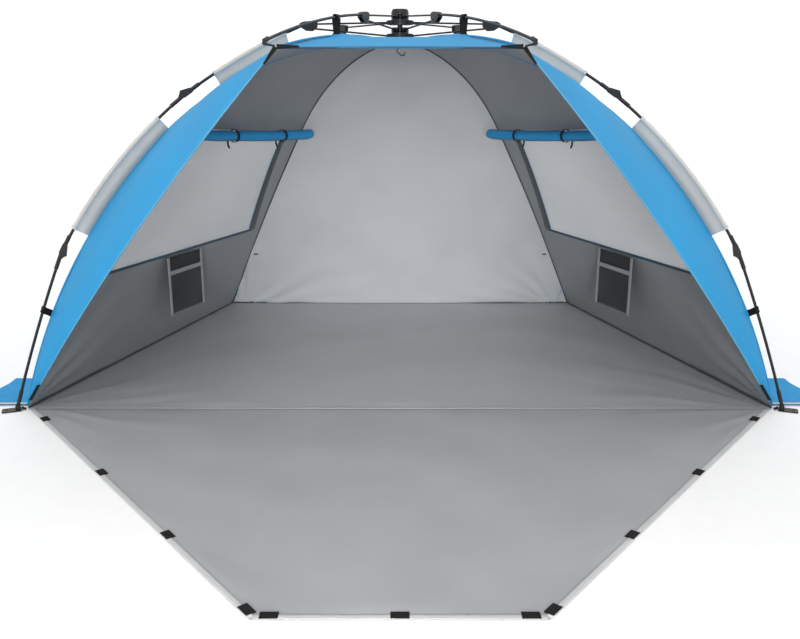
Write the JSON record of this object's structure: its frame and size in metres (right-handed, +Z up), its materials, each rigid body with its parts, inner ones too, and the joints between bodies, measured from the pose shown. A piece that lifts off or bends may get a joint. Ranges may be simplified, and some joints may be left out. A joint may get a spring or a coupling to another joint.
{
  "type": "pop up beach shelter",
  "caption": "Open-fronted instant beach shelter: an umbrella hub and folding poles hold a skin with windows, a floor and a fold-up porch.",
  "frame": {"origin": "on the ground under the hub's axis", "axes": "+Z up, the opening faces -Y, +X to the right of someone looking in"},
  "size_m": [2.9162, 2.5892, 1.293],
  "materials": {
    "blue_fabric": "matte",
    "silver_fabric": "matte",
    "floor_fabric": "matte",
    "grey_fabric": "matte",
    "mesh": "matte",
    "black_mesh": "matte",
    "webbing": "matte",
    "black_plastic": "satin",
    "fibreglass": "satin",
    "black_metal": "satin",
    "steel": "satin",
    "post_chrome": "polished"
  },
  "bodies": {
    "shelter": {"crown": "black_plastic", "crown_cap": "black_plastic", "crown_pins": "steel", "centre_post": "post_chrome", "hub_patch": "blue_fabric", "floor_sheet": "floor_fabric", "back_wall": "silver_fabric", "left_side_wall": "silver_fabric", "right_side_wall": "silver_fabric", "left_front_gore": "blue_fabric", "right_front_gore": "blue_fabric", "awning": "blue_fabric", "window_meshes": "mesh", "window_rolls": "blue_fabric", "window_ties": "webbing", "mesh_pockets": "black_mesh", "left_front_sleeves": "grey_fabric", "right_front_sleeves": "grey_fabric", "rear_sleeves": "grey_fabric", "leg_loops": "webbing", "awning_straps": "webbing", "awning_corner_webbing": "webbing", "sand_flaps": "blue_fabric", "foot_webbing": "webbing", "ceiling_hook": "black_plastic", "wall_toggles": "blue_fabric"},
    "porch": {"door_flap": "floor_fabric", "door_tabs": "webbing"},
    "runner": {"runner": "black_plastic", "runner_pins": "steel"},
    "right_front_arm": {"right_front_arm": "black_metal"},
    "right_front_strut": {"right_front_strut": "black_metal"},
    "right_rear_arm": {"right_rear_arm": "black_metal"},
    "right_rear_strut": {"right_rear_strut": "black_metal"},
    "left_front_arm": {"left_front_arm": "black_metal"},
    "left_front_strut": {"left_front_strut": "black_metal"},
    "left_rear_arm": {"left_rear_arm": "black_metal"},
    "left_rear_strut": {"left_rear_strut": "black_metal"},
    "right_awning_arm": {"right_awning_arm": "black_metal"},
    "right_awning_strut": {"right_awning_strut": "black_metal"},
    "left_awning_arm": {"left_awning_arm": "black_metal"},
    "left_awning_strut": {"left_awning_strut": "black_metal"},
    "right_front_upper_pole": {"right_front_upper_pole": "fibreglass"},
    "right_front_middle_pole": {"right_front_middle_pole": "fibreglass"},
    "right_front_lower_pole": {"right_front_lower_pole": "fibreglass"},
    "right_front_foot": {"right_front_foot": "black_plastic"},
    "right_rear_upper_pole": {"right_rear_upper_pole": "fibreglass"},
    "right_rear_middle_pole": {"right_rear_middle_pole": "fibreglass"},
    "right_rear_lower_pole": {"right_rear_lower_pole": "fibreglass"},
    "right_rear_foot": {"right_rear_foot": "black_plastic"},
    "left_front_upper_pole": {"left_front_upper_pole": "fibreglass"},
    "left_front_middle_pole": {"left_front_middle_pole": "fibreglass"},
    "left_front_lower_pole": {"left_front_lower_pole": "fibreglass"},
    "left_front_foot": {"left_front_foot": "black_plastic"},
    "left_rear_upper_pole": {"left_rear_upper_pole": "fibreglass"},
    "left_rear_middle_pole": {"left_rear_middle_pole": "fibreglass"},
    "left_rear_lower_pole": {"left_rear_lower_pole": "fibreglass"},
    "left_rear_foot": {"left_rear_foot": "black_plastic"}
  },
  "joints": [
    {"name": "frame_fold", "type": "hinge", "parent": "shelter", "child": "right_front_arm", "pos_m": [0.03764, -0.01353, 1.248], "axis": [0.3382, 0.9411, 0], "range_deg": [0, 80], "deforming": ["hub_patch", "back_wall", "left_side_wall", "right_side_wall", "left_front_gore", "right_front_gore", "awning", "window_meshes", "window_rolls", "window_ties", "mesh_pockets", "left_front_sleeves", "right_front_sleeves", "rear_sleeves", "leg_loops", "awning_straps", "awning_corner_webbing", "sand_flaps", "foot_webbing", "ceiling_hook", "wall_toggles", "floor_sheet"]},
    {"name": "right_front_strut_hinge", "type": "hinge", "parent": "right_front_arm", "child": "right_front_strut", "pos_m": [0.30032, -0.10794, 1.226], "axis": [0.3382, 0.9411, 0], "range_deg": [-160, 0]},
    {"name": "right_rear_arm_hinge", "type": "hinge", "parent": "shelter", "child": "right_rear_arm", "pos_m": [0.02671, 0.02978, 1.248], "axis": [-0.7445, 0.6676, 0], "range_deg": [0, 80]},
    {"name": "right_rear_strut_hinge", "type": "hinge", "parent": "right_rear_arm", "child": "right_rear_strut", "pos_m": [0.21307, 0.23759, 1.226], "axis": [-0.7445, 0.6676, 0], "range_deg": [-160, 0]},
    {"name": "left_front_arm_hinge", "type": "hinge", "parent": "shelter", "child": "left_front_arm", "pos_m": [-0.03764, -0.01353, 1.248], "axis": [0.3382, -0.9411, 0], "range_deg": [0, 80]},
    {"name": "left_front_strut_hinge", "type": "hinge", "parent": "left_front_arm", "child": "left_front_strut", "pos_m": [-0.30032, -0.10794, 1.226], "axis": [0.3382, -0.9411, 0], "range_deg": [-160, 0]},
    {"name": "left_rear_arm_hinge", "type": "hinge", "parent": "shelter", "child": "left_rear_arm", "pos_m": [-0.02671, 0.02978, 1.248], "axis": [-0.7445, -0.6676, 0], "range_deg": [0, 80]},
    {"name": "left_rear_strut_hinge", "type": "hinge", "parent": "left_rear_arm", "child": "left_rear_strut", "pos_m": [-0.21307, 0.23759, 1.226], "axis": [-0.7445, -0.6676, 0], "range_deg": [-160, 0]},
    {"name": "right_awning_arm_hinge", "type": "hinge", "parent": "shelter", "child": "right_awning_arm", "pos_m": [0.01401, -0.03747, 1.268], "axis": [0.9367, 0.3502, 0], "range_deg": [0, 80]},
    {"name": "right_awning_strut_hinge", "type": "hinge", "parent": "right_awning_arm", "child": "right_awning_strut", "pos_m": [0.11176, -0.29892, 1.246], "axis": [0.9367, 0.3502, 0], "range_deg": [-160, 0]},
    {"name": "left_awning_arm_hinge", "type": "hinge", "parent": "shelter", "child": "left_awning_arm", "pos_m": [-0.01401, -0.03747, 1.268], "axis": [0.9367, -0.3502, 0], "range_deg": [0, 80]},
    {"name": "left_awning_strut_hinge", "type": "hinge", "parent": "left_awning_arm", "child": "left_awning_strut", "pos_m": [-0.11176, -0.29892, 1.246], "axis": [0.9367, -0.3502, 0], "range_deg": [-160, 0]},
    {"name": "runner_hinge", "type": "hinge", "parent": "right_front_strut", "child": "runner", "pos_m": [0.03764, -0.01353, 1.204], "axis": [0.3382, 0.9411, 0], "range_deg": [0, 80]},
    {"name": "right_front_leg_top", "type": "hinge", "parent": "right_front_arm", "child": "right_front_upper_pole", "pos_m": [0.32479, -0.11674, 1.237], "axis": [0.3382, 0.9411, 0], "range_deg": [-20, 0]},
    {"name": "right_front_knuckle", "type": "hinge", "parent": "right_front_upper_pole", "child": "right_front_middle_pole", "pos_m": [0.70796, -0.25446, 1.02401], "axis": [0.3382, 0.9411, 0], "range_deg": [-180, 0]},
    {"name": "right_front_elbow", "type": "hinge", "parent": "right_front_middle_pole", "child": "right_front_lower_pole", "pos_m": [1.09203, -0.3925, 0.51758], "axis": [0.3382, 0.9411, 0], "range_deg": [0, 152]},
    {"name": "right_front_foot_tilt", "type": "hinge", "parent": "right_front_lower_pole", "child": "right_front_foot", "pos_m": [1.27741, -0.45913, 0.014], "axis": [0.3382, 0.9411, 0], "range_deg": [-12, 12]},
    {"name": "right_rear_leg_top", "type": "hinge", "parent": "right_rear_arm", "child": "right_rear_upper_pole", "pos_m": [0.23043, 0.25695, 1.237], "axis": [-0.7445, 0.6676, 0], "range_deg": [-36, 0]},
    {"name": "right_rear_knuckle", "type": "hinge", "parent": "right_rear_upper_pole", "child": "right_rear_middle_pole", "pos_m": [0.45447, 0.50678, 0.91172], "axis": [-0.7445, 0.6676, 0], "range_deg": [-180, 0]},
    {"name": "right_rear_elbow", "type": "hinge", "parent": "right_rear_middle_pole", "child": "right_rear_lower_pole", "pos_m": [0.65131, 0.72627, 0.43439], "axis": [-0.7445, 0.6676, 0], "range_deg": [0, 164]},
    {"name": "right_rear_foot_tilt", "type": "hinge", "parent": "right_rear_lower_pole", "child": "right_rear_foot", "pos_m": [0.82803, 0.92333, 0.014], "axis": [-0.7445, 0.6676, 0], "range_deg": [-12, 12]},
    {"name": "left_front_leg_top", "type": "hinge", "parent": "left_front_arm", "child": "left_front_upper_pole", "pos_m": [-0.32479, -0.11674, 1.237], "axis": [0.3382, -0.9411, 0], "range_deg": [-20, 0]},
    {"name": "left_front_knuckle", "type": "hinge", "parent": "left_front_upper_pole", "child": "left_front_middle_pole", "pos_m": [-0.70796, -0.25446, 1.02401], "axis": [0.3382, -0.9411, 0], "range_deg": [-180, 0]},
    {"name": "left_front_elbow", "type": "hinge", "parent": "left_front_middle_pole", "child": "left_front_lower_pole", "pos_m": [-1.09203, -0.3925, 0.51758], "axis": [0.3382, -0.9411, 0], "range_deg": [0, 152]},
    {"name": "left_front_foot_tilt", "type": "hinge", "parent": "left_front_lower_pole", "child": "left_front_foot", "pos_m": [-1.27741, -0.45913, 0.014], "axis": [0.3382, -0.9411, 0], "range_deg": [-12, 12]},
    {"name": "left_rear_leg_top", "type": "hinge", "parent": "left_rear_arm", "child": "left_rear_upper_pole", "pos_m": [-0.23043, 0.25695, 1.237], "axis": [-0.7445, -0.6676, 0], "range_deg": [-36, 0]},
    {"name": "left_rear_knuckle", "type": "hinge", "parent": "left_rear_upper_pole", "child": "left_rear_middle_pole", "pos_m": [-0.45447, 0.50678, 0.91172], "axis": [-0.7445, -0.6676, 0], "range_deg": [-180, 0]},
    {"name": "left_rear_elbow", "type": "hinge", "parent": "left_rear_middle_pole", "child": "left_rear_lower_pole", "pos_m": [-0.65131, 0.72627, 0.43439], "axis": [-0.7445, -0.6676, 0], "range_deg": [0, 164]},
    {"name": "left_rear_foot_tilt", "type": "hinge", "parent": "left_rear_lower_pole", "child": "left_rear_foot", "pos_m": [-0.82803, 0.92333, 0.014], "axis": [-0.7445, -0.6676, 0], "range_deg": [-12, 12]},
    {"name": "porch_fold", "type": "hinge", "parent": "shelter", "child": "porch", "pos_m": [0, -0.4515, 0.001], "axis": [-1, 0, 0], "range_deg": [0, 66]}
  ],
  "couplings": [
    {"joint": "right_front_strut_hinge", "follows": "frame_fold", "ratio": -2},
    {"joint": "right_rear_arm_hinge", "follows": "frame_fold", "ratio": 1},
    {"joint": "right_rear_strut_hinge", "follows": "frame_fold", "ratio": -2},
    {"joint": "left_front_arm_hinge", "follows": "frame_fold", "ratio": 1},
    {"joint": "left_front_strut_hinge", "follows": "frame_fold", "ratio": -2},
    {"joint": "left_rear_arm_hinge", "follows": "frame_fold", "ratio": 1},
    {"joint": "left_rear_strut_hinge", "follows": "frame_fold", "ratio": -2},
    {"joint": "right_awning_arm_hinge", "follows": "frame_fold", "ratio": 1},
    {"joint": "right_awning_strut_hinge", "follows": "frame_fold", "ratio": -2},
    {"joint": "left_awning_arm_hinge", "follows": "frame_fold", "ratio": 1},
    {"joint": "left_awning_strut_hinge", "follows": "frame_fold", "ratio": -2},
    {"joint": "runner_hinge", "follows": "frame_fold", "ratio": 1},
    {"joint": "right_front_leg_top", "follows": "frame_fold", "ratio": -0.25},
    {"joint": "right_front_knuckle", "follows": "frame_fold", "ratio": -2.25},
    {"joint": "right_front_elbow", "follows": "frame_fold", "ratio": 1.9},
    {"joint": "right_rear_leg_top", "follows": "frame_fold", "ratio": -0.45},
    {"joint": "right_rear_knuckle", "follows": "frame_fold", "ratio": -2.25},
    {"joint": "right_rear_elbow", "follows": "frame_fold", "ratio": 2.05},
    {"joint": "left_front_leg_top", "follows": "frame_fold", "ratio": -0.25},
    {"joint": "left_front_knuckle", "follows": "frame_fold", "ratio": -2.25},
    {"joint": "left_front_elbow", "follows": "frame_fold", "ratio": 1.9},
    {"joint": "left_rear_leg_top", "follows": "frame_fold", "ratio": -0.45},
    {"joint": "left_rear_knuckle", "follows": "frame_fold", "ratio": -2.25},
    {"joint": "left_rear_elbow", "follows": "frame_fold", "ratio": 2.05}
  ]
}
